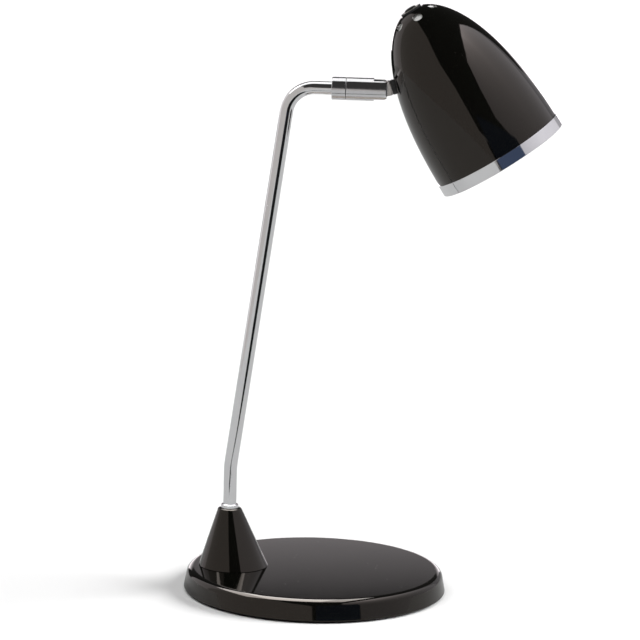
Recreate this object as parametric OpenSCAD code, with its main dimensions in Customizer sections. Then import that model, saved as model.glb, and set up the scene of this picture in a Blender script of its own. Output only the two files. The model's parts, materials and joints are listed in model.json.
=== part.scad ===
// Desk lamp: a weighted round base, a cone with a leaning chrome mast, a two-part
// swivel sleeve and a bullet shade that turns about the arm and tilts in a knuckle.
// Origin: centre of the underside of the base. +Z up, the arm points along +X.
// All sizes are in millimetres and degrees.

/* [Base] */
// Diameter of the base at its foot
base_d = 160; // [150:1:190]
// Height of the flat top above the table
base_h = 14; // [13:0.5:20]
// Radius of the rounded shoulder of the rim
rim_r = 4.5; // [3:0.5:7]
// Lean of the rim below the shoulder
rim_draft = 11; // [4:1:18]
// Radius of the turned-in foot of the cover
foot_r = 0.8; // [0.4:0.1:1.5]
// Sheet thickness of the base cover
cover_wall = 1.2; // [0.8:0.1:1.6]
// Thickness of the felt pad
pad_h = 1.2; // [0.8:0.1:2.5]
// Thickness of the bottom plate
plate_h = 1.2; // [1:0.1:2]
// Thread diameter of the screws that hold the bottom plate
plate_screw_d = 4; // [3:0.5:5]
// Length of those screws
plate_screw_len = 7; // [5:0.5:9]

/* [Cone] */
// Distance from the middle of the mast in to the edge of the base
mast_inset = 27; // [25:0.5:38]
// Diameter of the cone at its foot, before it is leant
cone_d = 42; // [34:0.5:50]
// Diameter of the cone at its top
cone_top_d = 13.6; // [12:0.2:18]
// Height of the cone
cone_h = 36; // [25:0.5:45]
// Lean of the cone away from the arm's side, with its top and foot cut level
cone_lean = 3.8; // [0:0.1:5]
// Sheet thickness of the cone
cone_wall = 1; // [0.8:0.1:1.5]
// Diameter of the bright ring on top of the cone
collar_d = 10.8; // [10:0.2:12]
// Height of that ring
collar_h = 2.4; // [1.5:0.1:4]

/* [Mast] */
// Outer diameter of the mast tube
tube_d = 8; // [7:0.5:9]
// Wall of the mast tube
tube_wall = 1; // [0.8:0.1:1.2]
// Lean of the mast from upright
mast_lean = 7.6; // [3:0.1:12]
// Height at which the mast starts to lean
lean_z = 76; // [68:1:100]
// Radius of the slight bend above the cone
low_bend_r = 60; // [40:1:90]
// Height of the level arm above the table
arm_z = 311; // [270:1:350]
// Radius of the bend at the top of the mast
bend_r = 17; // [14:0.5:22]
// Distance along the arm from the foot of the mast to the sleeve
arm_reach = 56.4; // [52:0.2:80]
// Thickness of the nut under the base
mast_nut_h = 2.6; // [2:0.1:3]
// Width across flats of that nut
mast_nut_af = 13; // [12:0.5:15]
// Diameter of the washer under the base
mast_washer_d = 20; // [17:0.5:24]
// Thickness of that washer
mast_washer_h = 1; // [0.6:0.1:1.4]

/* [Cord inlet] */
// Diameter of the hole in the gland for the mains cord
gland_bore_d = 5.2; // [4:0.1:6]
// Diameter of the gland in the wall of the base
gland_d = 7.6; // [7:0.1:8]
// Diameter of the outer lip of the gland
gland_lip_d = 9.4; // [8.6:0.2:10]
// How far the lip stands out of the wall
gland_lip_h = 0.8; // [0.5:0.1:1.5]
// Diameter of the nut inside the wall
gland_nut_d = 10; // [9.4:0.1:10]
// Thickness of that nut
gland_nut_h = 2; // [1.5:0.1:2]
// Direction of the inlet, seen from above, from the arm's direction
gland_azimuth = 125; // [100:5:140]
// Height of the inlet above the table
gland_z = 7.6; // [7:0.1:8.4]

/* [Wiring in the base] */
// Diameter of the pocket under the base for the terminals
pocket_d = 46; // [40:1:52]
// Depth of that pocket
pocket_depth = 8.4; // [7:0.2:9]
// Width of the cord channel
channel_w = 9; // [8:0.5:11]
// Length of the terminal block
block_l = 18; // [14:1:24]
// Width of the terminal block
block_w = 15; // [12:1:18]
// Thread diameter of the screws of the cord clamp
clamp_screw_d = 3; // [2.5:0.5:3.5]
// Distance between the screws of the cord clamp
clamp_pitch = 17; // [16:0.5:20]
// Diameter of the sleeved leads in the mast
lead_d = 2.6; // [2:0.1:2.8]

/* [Swivel sleeve] */
// Diameter of the sleeve
sleeve_d = 13.8; // [13:0.1:16]
// Length of the fixed collar of the sleeve
sleeve_collar_l = 8.4; // [7:0.1:12]
// Length of the turning body of the sleeve
body_l = 24.3; // [23.5:0.1:32]
// Width of the gap between collar and body
seam_w = 0.3; // [0.2:0.05:0.5]
// Diameter of the hollow pin that the body turns on
nipple_d = 9.2; // [8.8:0.1:9.8]
// Bore of the hollow pin
nipple_bore_d = 5.6; // [4.6:0.1:6]
// Length of the hollow pin inside the body
nipple_l = 11.5; // [10.5:0.1:12]
// Width of the slot of the knuckle
slot_w = 7; // [6.4:0.1:7.6]
// Depth of the slot of the knuckle
slot_l = 7.8; // [7.8:0.1:8.6]
// Height over the flats of the knuckle
cheek_h = 11.2; // [10.4:0.1:12]
// Diameter of the pivot pins of the knuckle
pin_d = 3; // [2:0.1:3.4]
// Height of the tongue in the slot
tongue_h = 8.7; // [8:0.1:9.2]

/* [Shade] */
// Diameter of the shade at its opening
shade_d = 81.8; // [74:0.2:100]
// Length of the shade from its flat top to its opening
shade_l = 105; // [98:0.5:120]
// Diameter of the small flat on top of the shade
shade_flat_d = 16; // [15.4:0.2:20]
// Power of the curve of the shade: a higher one gives a fuller flank
shade_power = 2.4; // [2:0.05:3]
// Sheet thickness of the shade
shade_wall = 0.8; // [0.6:0.05:1.2]
// Tilt of the shade from pointing straight down
shade_tilt = 33.2; // [20:0.2:45]
// Distance from the flat top to the stud, along the shade
stud_s = 33.6; // [30:0.2:40]
// Distance from the pivot of the knuckle to the surface of the shade
stand_off = 8.4; // [8:0.1:10]
// Diameter of the stud through the shade
stud_d = 5.4; // [5:0.1:6]
// Height of the bright trim ring
trim_h = 7.4; // [5:0.1:12]
// How far the trim ring stands out of the shade
trim_t = 0.5; // [0.3:0.05:1]
// Number of vent holes round the top
vent_count = 6; // [5:1:7]
// Diameter of the vent holes
vent_d = 6; // [4:0.1:6.4]
// Distance from the flat top to the vent holes, along the shade
vent_s = 3.4; // [3:0.1:5]
// Direction of the first vent hole round the shade, from its side away from the stud
vent_azimuth = -79; // [-120:1:-60]

/* [Lamp holder] */
// Gap between the shade and the dish behind its vent holes
baffle_gap = 1; // [0.8:0.1:1.6]
// Distance from the flat top of the shade to the edge of that dish
baffle_end_s = 9; // [8:0.2:10]
// Outer diameter of the lamp holder
holder_d = 27; // [26:0.5:30]
// Wall of the lamp holder
holder_wall = 1.7; // [1.4:0.1:2]
// Outer diameter of the threaded nose of the holder
nose_d = 10; // [9.6:0.1:10.6]
// Length of the cap of the holder
holder_cap_l = 14.6; // [14:0.1:18]
// Length of the skirt of the holder
holder_skirt_l = 22; // [20:0.5:24]
// Inner diameter of the threaded shell for the bulb
shell_bore_d = 14.1; // [14:0.1:14.6]
// Diameter of the globe of the bulb
globe_d = 45; // [35:0.5:48]
// Length of the bulb from its contact to its tip
bulb_l = 73; // [68:0.5:78]

/* [Push button] */
// Diameter of the push button
button_d = 7.4; // [7:0.1:7.5]
// How far the button stands out above the ring nut
button_proud = 1.3; // [1.3:0.1:2.5]
// Travel of the button
button_travel = 1.2; // [0.8:0.1:1.2]
// Outer diameter of the ring nut round the button
ring_nut_d = 13.2; // [12.6:0.1:15]
// Height of the ring nut
ring_nut_h = 1.3; // [1:0.1:2]

/* [Hidden] */
$fn = 96;
// Small clearances, named by where they are
tube_gap = 0.3;
running_gap = 0.05;
slot_gap = 0.2;
gland_nut_gap = 0.4;
sheet_gap = 0.4;
button_gap = 0.2;
fine_fn = 48;

// Base: levels and the line of the rim
base_r = base_d / 2;
weight_z = pad_h + plate_h;
weight_top = base_h - cover_wall;
foot_z = pad_h + foot_r;
rim_drop = (base_h - rim_r + rim_r * sin(rim_draft) - foot_z) / cos(rim_draft);
flat_r = base_r - rim_r * cos(rim_draft) - rim_drop * sin(rim_draft);
weight_r = flat_r - 1.5;
plate_r = flat_r + 1.5;
pad_r = plate_r - 1.5;
plate_screw_circle_r = weight_r - 10;
plate_screw_head_d = plate_screw_d + 2.8;
rim_steps = 10;
foot_steps = 4;

// Mast: levels under the base and the corners of its path
mast_x = mast_inset - base_d / 2;
tube_r = tube_d / 2;
mast_bore_r = tube_r - tube_wall;
nut_z = weight_z + 3;
washer_z = nut_z + mast_nut_h;
web_z = washer_z + mast_washer_h;
mast_foot_z = nut_z - 0.2;
cone_z = base_h;
collar_z = cone_z + cone_h;
low_tangent = low_bend_r * tan(mast_lean / 2);
top_turn = 90 - mast_lean;
top_tangent = bend_r * tan(top_turn / 2);
top_corner_x = mast_x + (arm_z - lean_z) * tan(mast_lean);
mast_run = (arm_z - lean_z) / cos(mast_lean) - low_tangent - top_tangent;

// Swivel sleeve along the arm
sleeve_x = mast_x + arm_reach;
tube_in = 4.2;
tube_end_x = sleeve_x + tube_in;
seam_x = sleeve_x + sleeve_collar_l;
body_x = seam_x + seam_w;
body_end_x = body_x + body_l;
slot_x = body_end_x - slot_l;
nipple_end_x = body_x + nipple_l;
groove_x = body_x + 6.6;
groove_w = 2.8;
groove_depth = 0.9;
grub_d = 3;
grub_tip_d = 2.4;
stop_pin_d = 1.6;
sleeve_r = sleeve_d / 2;
nipple_r = nipple_d / 2;
edge = 0.4;

// Knuckle: its pivot, its tongue and the rounding of its cheeks
tongue_r = tongue_h / 2;
tongue_t = slot_w - 2 * slot_gap;
pivot_x = slot_x + tongue_r + 0.25;
tongue_l = stand_off - 2.4;
cheek_r = tongue_l - 0.25;
lock_washer_h = 0.4;
pin_root = 1.9;
lead_bore_d = 3;
inner_washer_h = 1.6;
stud_nut_h = 2.4;
stud_nut_af = 9;
stud_l = stand_off + shade_wall + inner_washer_h + stud_nut_h + 0.6;

// Shade: the curve starts at a virtual tip above the flat
shade_r = shade_d / 2;
shade_flat_r = shade_flat_d / 2;
curve_l = shade_l / pow(1 - pow(shade_flat_r / shade_r, 2), 1 / shade_power);
shade_steps = 26;
lip_h = 0.6;
shade_end = shade_l - lip_h;
function curve_at(s) = pow((shade_l - s) / curve_l, shade_power);
function outline_r(s) = shade_r * sqrt(1 - curve_at(s));
// Lean of the surface from the axis at the distance s from the flat top
function outline_lean(s) =
    atan(shade_r * shade_power * pow((shade_l - s) / curve_l, shade_power - 1)
        / (2 * curve_l * sqrt(1 - curve_at(s))));
// Distances along the shade, closer together near the flat top
shade_stations = [for (i = [0:shade_steps]) shade_end * (1 - cos(90 * i / shade_steps))];

stud_lean = outline_lean(stud_s);
pivot_local = [
    -outline_r(stud_s) - stand_off * cos(stud_lean),
    0,
    -stud_s + stand_off * sin(stud_lean)
];
knuckle_bend = shade_tilt - stud_lean;

// Lamp holder: distances below the flat top of the shade
baffle_t = 0.6;
baffle_depth = shade_wall + baffle_gap;
baffle_hub_r = shade_flat_r - 1;
cap_s = baffle_depth + baffle_t;
cap_top_t = 2;
cap_slope = 6.8;
cap_end_s = cap_s + holder_cap_l;
skirt_end_s = cap_end_s + holder_skirt_l;
holder_r = holder_d / 2;
holder_bore_r = holder_r - holder_wall;
nose_r = nose_d / 2;
nose_bore_r = button_d / 2 + button_gap;
insert_s = cap_end_s - 2;
lead_s = baffle_end_s + 3;
insert_h = 6;
insert_end_s = insert_s + insert_h;
contact_h = 1.9;
bulb_s = insert_end_s + contact_h;
bulb_tip_h = 1.5;
bulb_cap_s = bulb_s + bulb_tip_h;
bulb_cap_l = 14;
bulb_neck_s = bulb_cap_s + bulb_cap_l;
bulb_cap_r = shell_bore_d / 2 - 0.15;
globe_r = globe_d / 2;
globe_s = bulb_s + bulb_l - globe_r;
neck_r = bulb_cap_r + 1;
shell_t = 0.5;
flange_s = cap_s + cap_top_t + button_gap;
flange_h = 1.5;
flange_r = nose_bore_r + 1.2;

module ring_of(count, r) {
    for (i = [0:count - 1])
        rotate([0, 0, i * 360 / count])
            translate([r, 0, 0])
                children();
}

// A turned piece: points are distance from the axis and height
module turned(points) {
    rotate_extrude()
        polygon(points);
}

// A tube or a ring from z to z + h
module pipe(outer_r, inner_r, h) {
    difference() {
        cylinder(r = outer_r, h = h);
        translate([0, 0, -1])
            cylinder(r = inner_r, h = h + 2);
    }
}

// A countersunk screw, its head's face at z = 0 and its shank going up
module sunk_screw(d, head_d, head_h, l) {
    slot_d = head_h / 2;
    difference() {
        union() {
            cylinder(d1 = head_d, d2 = d, h = head_h);
            cylinder(d = d, h = l, $fn = fine_fn);
        }
        translate([-head_d, -0.4, -1])
            cube([2 * head_d, 0.8, slot_d + 1]);
    }
}

// Lays children that are built along +Z along +X at the height of the arm
module along_arm(x) {
    translate([x, 0, arm_z])
        rotate([0, 90, 0])
            children();
}

// The axes of the tongue: the pivot at the origin, +X towards the shade
module at_tongue() {
    translate([pivot_x, 0, arm_z])
        rotate([0, -knuckle_bend, 0])
            children();
}

// The axes of the shade: its flat top at the origin, its opening down
module at_shade() {
    translate([pivot_x, 0, arm_z])
        rotate([0, -shade_tilt, 0])
            translate(-pivot_local)
                children();
}

// Turned pieces in the shade: points are distance from the axis and distance below the flat top
module turned_down(points) {
    turned([for (p = points) [p[0], -p[1]]]);
}

// Shoulder of the rim, moved outwards by grow, from the foot to the flat top
function rim_line(grow) = concat(
    [[base_r + grow / cos(rim_draft), foot_z]],
    [for (i = [0:rim_steps])
        let (a = rim_draft + i * (90 - rim_draft) / rim_steps)
        [flat_r + (rim_r + grow) * cos(a), base_h - rim_r + (rim_r + grow) * sin(a)]]);

// Solid inside that line, straight down from the foot to low_z
module rim_solid(grow, low_z) {
    turned(concat(
        [[0, low_z], [base_r + grow / cos(rim_draft), low_z]],
        rim_line(grow),
        [[0, base_h + grow]]));
}

// Solid inside the line of the shade, moved inwards by depth
module shade_solid(depth, end_s) {
    turned_down(concat(
        [[0, depth]],
        [for (s = shade_stations)
            [outline_r(s) - depth * cos(outline_lean(s)), s + depth * sin(outline_lean(s))]],
        [[shade_r - depth, end_s], [0, end_s]]));
}

// Section of a tube, or of a rod where inner_r is zero
module section(outer_r, inner_r) {
    difference() {
        circle(r = outer_r);
        if (inner_r > 0)
            circle(r = inner_r);
    }
}

// A tube or rod along the mast from its foot to end_x; a hair-thin band closes each end of a bend
module mast_path(outer_r, inner_r, foot_z, end_x) {
    band_h = 0.2;
    band_t = 0.01;
    module band() {
        translate([0, 0, -band_h / 2])
            linear_extrude(band_h)
                section(outer_r + band_t, inner_r - band_t);
    }
    module bend(r, angle) {
        band();
        translate([r, 0, 0])
            rotate([90, 0, 180])
                rotate_extrude(angle = angle)
                    translate([r, 0])
                        section(outer_r, inner_r);
    }
    module straight(l) {
        band();
        linear_extrude(l)
            section(outer_r, inner_r);
    }
    translate([mast_x, 0, foot_z])
        linear_extrude(lean_z - low_tangent - foot_z)
            section(outer_r, inner_r);
    translate([mast_x, 0, lean_z - low_tangent])
        bend(low_bend_r, mast_lean);
    translate([mast_x, 0, lean_z])
        rotate([0, mast_lean, 0]) {
            translate([0, 0, low_tangent])
                straight(mast_run);
            translate([0, 0, low_tangent + mast_run])
                bend(bend_r, top_turn);
        }
    translate([top_corner_x + top_tangent, 0, arm_z])
        rotate([0, 90, 0])
            straight(end_x - top_corner_x - top_tangent);
}

// Cuts under the base for the cord and the leads
module cord_channel(w, h) {
    rotate([0, 0, gland_azimuth])
        translate([0, -w / 2, weight_z - 1])
            cube([base_r, w, h + 1]);
}

clamp_at = pocket_d / 2 + 14;
clamp_l = clamp_pitch + 2 * clamp_screw_d;
clamp_w = 7.6;
clamp_t = 1.7;
clamp_head_d = clamp_screw_d + 2.6;

module at_clamp() {
    rotate([0, 0, gland_azimuth])
        translate([clamp_at, 0, weight_z])
            children();
}

module felt_pad() {
    color("dimgray")
        cylinder(r = pad_r, h = pad_h);
}

module bottom_plate() {
    color("gray")
        difference() {
            translate([0, 0, pad_h])
                cylinder(r = plate_r, h = plate_h);
            translate([0, 0, pad_h])
                ring_of(3, plate_screw_circle_r)
                    cylinder(d1 = plate_screw_head_d, d2 = plate_screw_d, h = plate_h);
        }
}

module plate_screws() {
    color("silver")
        translate([0, 0, pad_h])
            ring_of(3, plate_screw_circle_r)
                sunk_screw(plate_screw_d, plate_screw_head_d, plate_h, plate_screw_len);
}

module base_weight() {
    color("dimgray")
        difference() {
            translate([0, 0, weight_z])
                cylinder(r = weight_r, h = weight_top - weight_z);
            translate([mast_x, 0, weight_z - 1])
                cylinder(d = mast_washer_d + 2 * sheet_gap, h = web_z - weight_z + 1);
            translate([mast_x, 0, 0])
                cylinder(r = tube_r + tube_gap, h = base_h);
            translate([0, 0, weight_z - 1])
                cylinder(d = pocket_d, h = pocket_depth + 1);
            translate([mast_x, -lead_d, weight_z - 1])
                cube([-mast_x, 2 * lead_d, lead_d + 2]);
            cord_channel(channel_w, weight_top - weight_z - 0.8);
            at_clamp() {
                translate([-clamp_w / 2 - sheet_gap, -clamp_l / 2 - sheet_gap, -1])
                    cube([clamp_w + 2 * sheet_gap, clamp_l + 2 * sheet_gap, clamp_t + 1.1]);
                for (side = [-1, 1])
                    translate([0, side * clamp_pitch / 2, 0])
                        cylinder(d = clamp_screw_d, h = 8, $fn = fine_fn);
            }
            translate([0, 0, pad_h])
                ring_of(3, plate_screw_circle_r)
                    cylinder(d = plate_screw_d, h = plate_screw_len + 1, $fn = fine_fn);
        }
}

module gland_axis(from, to, d) {
    rotate([0, 0, gland_azimuth])
        translate([from, 0, gland_z])
            rotate([0, 90, 0])
                cylinder(d = d, h = to - from);
}

module base_cover() {
    foot = [
        for (i = [0:foot_steps])
            let (a = -90 + i * 90 / foot_steps)
            [base_r - foot_r + foot_r * cos(a), foot_z + foot_r * sin(a)]
    ];
    color("black")
        difference() {
            turned(concat([[0, pad_h]], foot, rim_line(0), [[0, base_h]]));
            rim_solid(-cover_wall, 0);
            translate([mast_x, 0, 0])
                cylinder(r = tube_r + tube_gap, h = 2 * base_h);
            gland_axis(weight_r, base_d, gland_d);
        }
}

module cord_gland() {
    color("black")
        difference() {
            union() {
                intersection() {
                    gland_axis(weight_r - 3, base_d, gland_d);
                    rim_solid(gland_lip_h, 0);
                }
                difference() {
                    intersection() {
                        gland_axis(weight_r, base_d, gland_lip_d);
                        rim_solid(gland_lip_h, 0);
                    }
                    rim_solid(0, -1);
                }
            }
            gland_axis(weight_r - 5, base_d, gland_bore_d);
        }
}

// The nut that holds the gland from inside the wall
module gland_nut() {
    color("black")
        difference() {
            gland_axis(weight_r + gland_nut_gap, weight_r + gland_nut_gap + gland_nut_h, gland_nut_d);
            gland_axis(weight_r, base_d, gland_d);
        }
}

module cord_clamp() {
    saddle_h = 3;
    color("ivory")
        at_clamp()
            difference() {
                union() {
                    translate([-clamp_w / 2, -clamp_l / 2, 0.1])
                        cube([clamp_w, clamp_l, clamp_t]);
                    translate([-clamp_w / 2, -channel_w / 2 + sheet_gap, 0.1])
                        cube([clamp_w, channel_w - 2 * sheet_gap, clamp_t + saddle_h]);
                }
                for (side = [-1, 1])
                    translate([0, side * clamp_pitch / 2, 0.1])
                        cylinder(d1 = clamp_head_d, d2 = clamp_screw_d, h = clamp_t);
            }
}

module clamp_screws() {
    color("silver")
        at_clamp()
            for (side = [-1, 1])
                translate([0, side * clamp_pitch / 2, 0.1])
                    sunk_screw(clamp_screw_d, clamp_head_d, clamp_t, 7.5);
}

block_h = pocket_depth - 0.4;
block_top = weight_z + pocket_depth;
insert_pitch = block_w / 2;
insert_d = 4.4;
insert_z = block_top - block_h / 2;
clamp_pin_d = 2.4;

module at_terminal(z) {
    for (side = [-1, 1])
        translate([0, side * insert_pitch / 2, z])
            children();
}

module terminal_block() {
    color("white")
        difference() {
            translate([-block_l / 2, -block_w / 2, block_top - block_h])
                cube([block_l, block_w, block_h]);
            at_terminal(insert_z)
                rotate([0, 90, 0])
                    cylinder(d = insert_d, h = 2 * block_l, center = true, $fn = fine_fn);
            at_terminal(0)
                for (end = [-1, 1])
                    translate([end * block_l / 4, 0, block_top - block_h - 1])
                        cylinder(d = clamp_pin_d + 0.2, h = block_h / 2 + 1, $fn = fine_fn);
        }
}

module terminal_inserts() {
    color("gold")
        difference() {
            at_terminal(insert_z)
                rotate([0, 90, 0])
                    difference() {
                        cylinder(d = insert_d, h = block_l - 2, center = true, $fn = fine_fn);
                        cylinder(d = lead_d, h = 2 * block_l, center = true, $fn = fine_fn);
                    }
            at_terminal(0)
                for (end = [-1, 1])
                    translate([end * block_l / 4, 0, 0])
                        cylinder(d = clamp_pin_d, h = insert_z, $fn = fine_fn);
        }
}

module terminal_screws() {
    color("silver")
        at_terminal(0)
            for (end = [-1, 1])
                translate([end * block_l / 4, 0, block_top - block_h + 0.4])
                    cylinder(d = clamp_pin_d, h = block_h / 2 - 1.2, $fn = fine_fn);
}

// A leaning solid cone whose side runs on past its top and its foot
module leaning_cone(inset, top) {
    taper = (cone_d - cone_top_d) / 2 / cone_h;
    spare = cone_d * sin(cone_lean) + 1;
    translate([0, 0, cone_h])
        rotate([0, -cone_lean, 0])
            translate([0, 0, -cone_h])
                turned([
                    [0, -spare],
                    [cone_d / 2 - inset + taper * spare, -spare],
                    [cone_d / 2 - inset - taper * top, top],
                    [0, top]
                ]);
}

module cone_cover() {
    slant = cone_wall / cos(atan((cone_d - cone_top_d) / 2 / cone_h));
    hole_r = tube_r + tube_gap;
    color("black")
        translate([mast_x, 0, cone_z])
            difference() {
                intersection() {
                    leaning_cone(0, cone_h + 2);
                    translate([-cone_d, -cone_d, 0])
                        cube([2 * cone_d, 2 * cone_d, cone_h]);
                }
                leaning_cone(slant, cone_h - cone_wall);
                cylinder(r = hole_r, h = cone_h + 1, $fn = fine_fn);
            }
}

module collar_ring() {
    color("silver")
        translate([mast_x, 0, collar_z])
            turned([
                [tube_r, 0],
                [collar_d / 2, 0],
                [collar_d / 2, collar_h - 2 * edge],
                [collar_d / 2 - 2 * edge, collar_h],
                [tube_r, collar_h]
            ]);
}

module mast() {
    color("silver")
        mast_path(tube_r, mast_bore_r, mast_foot_z, tube_end_x);
}

module mast_washer() {
    color("silver")
        translate([mast_x, 0, washer_z])
            pipe(mast_washer_d / 2, tube_r + tube_gap, mast_washer_h);
}

module mast_nut() {
    color("gold")
        translate([mast_x, 0, nut_z])
            difference() {
                cylinder(d = mast_nut_af / cos(30), h = mast_nut_h, $fn = 6);
                translate([0, 0, -1])
                    cylinder(r = tube_r, h = mast_nut_h + 2);
            }
}

// The sleeved leads run from the terminals up the mast and through the hollow pin to the slot
module mast_lead() {
    turn_r = lead_d;
    lead_r = lead_d / 2;
    level_z = weight_z + lead_r + 0.1;
    color("dimgray") {
        mast_path(lead_r, 0, level_z + turn_r, slot_x);
        translate([mast_x + turn_r, 0, level_z + turn_r])
            rotate([90, 0, 0])
                rotate([0, 0, 180])
                    rotate_extrude(angle = 90)
                        translate([turn_r, 0])
                            circle(r = lead_r);
        translate([mast_x + turn_r, 0, level_z])
            rotate([0, 90, 0])
                cylinder(r = lead_r, h = -mast_x - turn_r - block_l / 2);
    }
}

module joint_collar() {
    color("silver")
        along_arm(sleeve_x)
            turned([
                [tube_r, 0],
                [sleeve_r - edge, 0],
                [sleeve_r, edge],
                [sleeve_r, sleeve_collar_l],
                [nipple_r, sleeve_collar_l],
                [nipple_r, tube_in],
                [tube_r, tube_in]
            ]);
}

module swivel_nipple() {
    in_collar = sleeve_collar_l - tube_in;
    groove_at = groove_x - tube_end_x;
    color("goldenrod")
        along_arm(tube_end_x)
            turned([
                [nipple_bore_d / 2, 0],
                [nipple_r, 0],
                [nipple_r, groove_at - groove_w / 2],
                [nipple_r - groove_depth, groove_at - groove_w / 2],
                [nipple_r - groove_depth, groove_at + groove_w / 2],
                [nipple_r, groove_at + groove_w / 2],
                [nipple_r, in_collar + seam_w + nipple_l],
                [nipple_bore_d / 2, in_collar + seam_w + nipple_l]
            ]);
}

module swivel_washer() {
    color("black")
        along_arm(seam_x)
            pipe(sleeve_r - edge, nipple_r + sheet_gap, seam_w - running_gap);
}

// A pin in the groove of the hollow pin, on the side towards the viewer
module swivel_stop_pin() {
    color("dimgray")
        translate([groove_x, -nipple_r + groove_depth, arm_z])
            rotate([90, 0, 0])
                cylinder(d = stop_pin_d, h = groove_depth - running_gap, $fn = fine_fn);
}

module joint_body() {
    bore_r = nipple_r + running_gap;
    bore_l = nipple_l + 0.5;
    flat_cut = sleeve_d;
    color("silver")
        difference() {
            along_arm(body_x)
                turned([
                    [0, 0],
                    [sleeve_r, 0],
                    [sleeve_r, body_l - edge],
                    [sleeve_r - edge, body_l],
                    [0, body_l]
                ]);
            along_arm(body_x - 1)
                cylinder(r = bore_r, h = bore_l + 1);
            along_arm(body_x)
                cylinder(d = nipple_bore_d, h = body_l);
            translate([slot_x, -slot_w / 2, arm_z - sleeve_d])
                cube([2 * slot_l, slot_w, 2 * sleeve_d]);
            for (side = [-1, 1])
                translate([slot_x, -sleeve_d, arm_z + side * (cheek_h + flat_cut) / 2 - flat_cut / 2])
                    cube([2 * slot_l, 2 * sleeve_d, flat_cut]);
            difference() {
                translate([pivot_x, -sleeve_d, arm_z - sleeve_d])
                    cube([2 * slot_l, 2 * sleeve_d, 2 * sleeve_d]);
                translate([pivot_x, 0, arm_z])
                    rotate([90, 0, 0])
                        cylinder(r = cheek_r, h = 2 * sleeve_d, center = true);
            }
            translate([pivot_x, 0, arm_z])
                rotate([90, 0, 0])
                    cylinder(d = pin_d, h = 2 * sleeve_d, center = true, $fn = fine_fn);
            translate([groove_x, 0, arm_z])
                rotate([-90, 0, 0])
                    cylinder(d = grub_d, h = sleeve_d, $fn = fine_fn);
        }
}

// A socket screw at the far side of the body; its tip runs in the groove of the hollow pin
module grub_screw() {
    tip_end = nipple_r - groove_depth + 0.15;
    thread_end = nipple_r + running_gap + 0.1;
    head_end = sleeve_r - 0.3;
    color("dimgray")
        translate([groove_x, 0, arm_z])
            rotate([-90, 0, 0])
                difference() {
                    union() {
                        translate([0, 0, tip_end])
                            cylinder(d = grub_tip_d, h = head_end - tip_end, $fn = fine_fn);
                        translate([0, 0, thread_end])
                            cylinder(d = grub_d, h = head_end - thread_end, $fn = fine_fn);
                    }
                    translate([0, 0, head_end - 1])
                        cylinder(d = grub_d / 2, h = 2, $fn = 6);
                }
}

// Two short pins, flush with the cheeks, leave the middle of the tongue open for the leads
module pivot_pins() {
    color("silver")
        for (side = [-1, 1])
            intersection() {
                along_arm(body_x)
                    cylinder(r = sleeve_r, h = body_l);
                translate([pivot_x, side * pin_root, arm_z])
                    rotate([-90 * side, 0, 0])
                        cylinder(d = pin_d, h = sleeve_r, $fn = fine_fn);
            }
}

module tongue() {
    color("lightgray")
        at_tongue()
            difference() {
                union() {
                    rotate([90, 0, 0])
                        cylinder(r = tongue_r, h = tongue_t, center = true);
                    translate([0, -tongue_t / 2, -tongue_r])
                        cube([tongue_l, tongue_t, tongue_h]);
                    rotate([0, 90, 0])
                        cylinder(d = stud_d, h = stud_l, $fn = fine_fn);
                }
                translate([-tongue_h, 0, 0])
                    rotate([0, 90, 0])
                        cylinder(d = lead_bore_d, h = tongue_h + 2 * stud_l, $fn = fine_fn);
                for (side = [-1, 1])
                    translate([0, side * (pin_root - running_gap), 0])
                        rotate([-90 * side, 0, 0])
                            cylinder(d = pin_d + 2 * running_gap, h = tongue_t, $fn = fine_fn);
            }
}

module lock_washer() {
    color("silver")
        at_tongue()
            translate([tongue_l, 0, 0])
                rotate([0, 90, 0])
                    pipe(tongue_r - 0.1, stud_d / 2, lock_washer_h);
}

// A saddle that follows the outside of the shade
module shade_seat() {
    color("black")
        difference() {
            at_tongue()
                translate([tongue_l + lock_washer_h, 0, 0])
                    rotate([0, 90, 0])
                        pipe(tongue_r + 0.2, stud_d / 2, stand_off);
            at_shade()
                shade_solid(0, shade_l);
        }
}

module inner_washer() {
    color("silver")
        intersection() {
            at_tongue()
                translate([stand_off, 0, 0])
                    rotate([0, 90, 0])
                        pipe(tongue_r + 0.5, stud_d / 2, shade_wall + inner_washer_h);
            at_shade()
                shade_solid(shade_wall, shade_end);
        }
}

module stud_nut() {
    color("silver")
        at_tongue()
            translate([stand_off + shade_wall + inner_washer_h, 0, 0])
                rotate([0, 90, 0])
                    difference() {
                        cylinder(d = stud_nut_af / cos(30), h = stud_nut_h, $fn = 6);
                        translate([0, 0, -1])
                            cylinder(d = stud_d, h = stud_nut_h + 2, $fn = fine_fn);
                    }
}

module shade() {
    vent_lean = outline_lean(vent_s);
    color("black")
        difference() {
            at_shade()
                difference() {
                    shade_solid(0, shade_end);
                    shade_solid(shade_wall, shade_l);
                    translate([0, 0, -shade_wall - 1])
                        cylinder(r = nose_r + sheet_gap / 2, h = shade_wall + 2);
                    for (i = [0:vent_count - 1])
                        rotate([0, 0, vent_azimuth + i * 360 / vent_count])
                            translate([outline_r(vent_s), 0, -vent_s])
                                rotate([0, 90 - vent_lean, 0])
                                    cylinder(d = vent_d, h = 4, center = true, $fn = fine_fn);
                }
            at_tongue()
                translate([stand_off - 1, 0, 0])
                    rotate([0, 90, 0])
                        cylinder(d = stud_d, h = shade_wall + 3, $fn = fine_fn);
        }
}

module trim_ring() {
    color("silver")
        at_shade()
            turned_down([
                [shade_r, shade_l - trim_h],
                [shade_r + trim_t - 0.2, shade_l - trim_h],
                [shade_r + trim_t, shade_l - trim_h + 0.2],
                [shade_r + trim_t, shade_l],
                [shade_r - 2, shade_l],
                [shade_r - 2, shade_end],
                [shade_r, shade_end]
            ]);
}

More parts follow.
